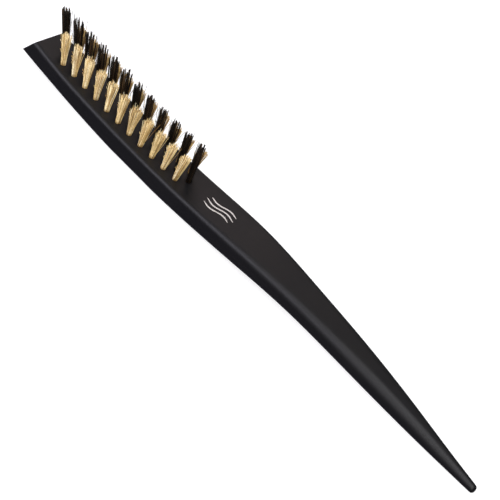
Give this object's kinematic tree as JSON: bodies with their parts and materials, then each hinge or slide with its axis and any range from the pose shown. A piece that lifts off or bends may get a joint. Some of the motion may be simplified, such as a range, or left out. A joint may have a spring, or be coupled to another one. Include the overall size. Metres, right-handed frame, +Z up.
{
  "type": "dressing brush",
  "caption": "Narrow dressing brush with a slim one-piece body, rows of bristle tufts in drilled holes and a long pointed tail for sectioning hair.",
  "frame": {"origin": "centre of the base rectangle: midway between the nose and the tail tip, on the centre line, on the surface that the brush lies on", "axes": "+X from the nose to the tail tip, +Z up out of the bristle face, +Y to the rear row of tufts"},
  "size_m": [0.22, 0.0168, 0.0265],
  "materials": {
    "soft_black": "satin soft-touch black with a very fine grain",
    "blonde_bristle": "bundled natural blonde boar bristle, semi-matt",
    "black_bristle": "bundled black bristle, slightly glossy",
    "anchor_metal": "drawn flat anchor wire",
    "printed_mark": "thin pale printed ink"
  },
  "bodies": {
    "root": {"handle_body": "soft_black", "tuft_front_01": "blonde_bristle", "tuft_front_02": "blonde_bristle", "tuft_front_03": "blonde_bristle", "tuft_front_04": "blonde_bristle", "tuft_front_05": "blonde_bristle", "tuft_front_06": "blonde_bristle", "tuft_front_07": "blonde_bristle", "tuft_front_08": "blonde_bristle", "tuft_front_09": "blonde_bristle", "tuft_front_10": "blonde_bristle", "tuft_front_11": "blonde_bristle", "tuft_middle_01": "black_bristle", "tuft_middle_02": "black_bristle", "tuft_middle_03": "black_bristle", "tuft_middle_04": "black_bristle", "tuft_middle_05": "black_bristle", "tuft_middle_06": "black_bristle", "tuft_middle_07": "black_bristle", "tuft_middle_08": "black_bristle", "tuft_middle_09": "black_bristle", "tuft_middle_10": "black_bristle", "tuft_middle_11": "black_bristle", "tuft_middle_12": "black_bristle", "tuft_rear_01": "blonde_bristle", "tuft_rear_02": "blonde_bristle", "tuft_rear_03": "blonde_bristle", "tuft_rear_04": "blonde_bristle", "tuft_rear_05": "blonde_bristle", "tuft_rear_06": "blonde_bristle", "tuft_rear_07": "blonde_bristle", "tuft_rear_08": "blonde_bristle", "tuft_rear_09": "blonde_bristle", "tuft_rear_10": "blonde_bristle", "tuft_rear_11": "blonde_bristle"}
  },
  "joints": []
}
